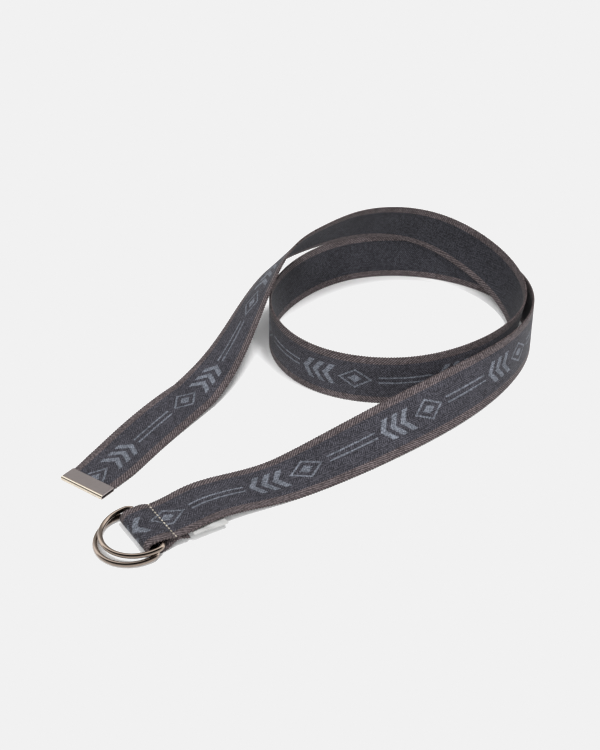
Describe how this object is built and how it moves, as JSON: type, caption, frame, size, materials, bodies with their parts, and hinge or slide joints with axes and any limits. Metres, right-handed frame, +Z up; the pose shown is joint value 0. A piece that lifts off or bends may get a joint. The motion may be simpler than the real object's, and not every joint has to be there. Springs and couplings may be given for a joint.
{
  "type": "double ring belt",
  "caption": "Webbing belt lying loosely coiled on its edge, with two stacked D rings sewn into one end and a folded metal clip on the other.",
  "frame": {"origin": "middle of the coiled belt's box seen from above, on the surface that it lies on", "axes": "+Z up from the surface; the ring end lies towards -X and -Y, the clip end towards -X, and the coil towards +X and +Y"},
  "size_m": [0.2592, 0.293, 0.0605],
  "materials": {
    "webbing": "dark charcoal herringbone webbing with taupe edges and slate blue woven bars on its face",
    "gunmetal_upper": "polished gunmetal plating",
    "gunmetal_lower": "polished gunmetal plating",
    "satin_clip": "satin warm grey plating",
    "white_satin": "blank white woven satin"
  },
  "bodies": {
    "root": {"strap": "webbing", "ring_upper": "gunmetal_upper", "ring_lower": "gunmetal_lower", "strap_tip": "satin_clip", "care_label": "white_satin"}
  },
  "joints": []
}
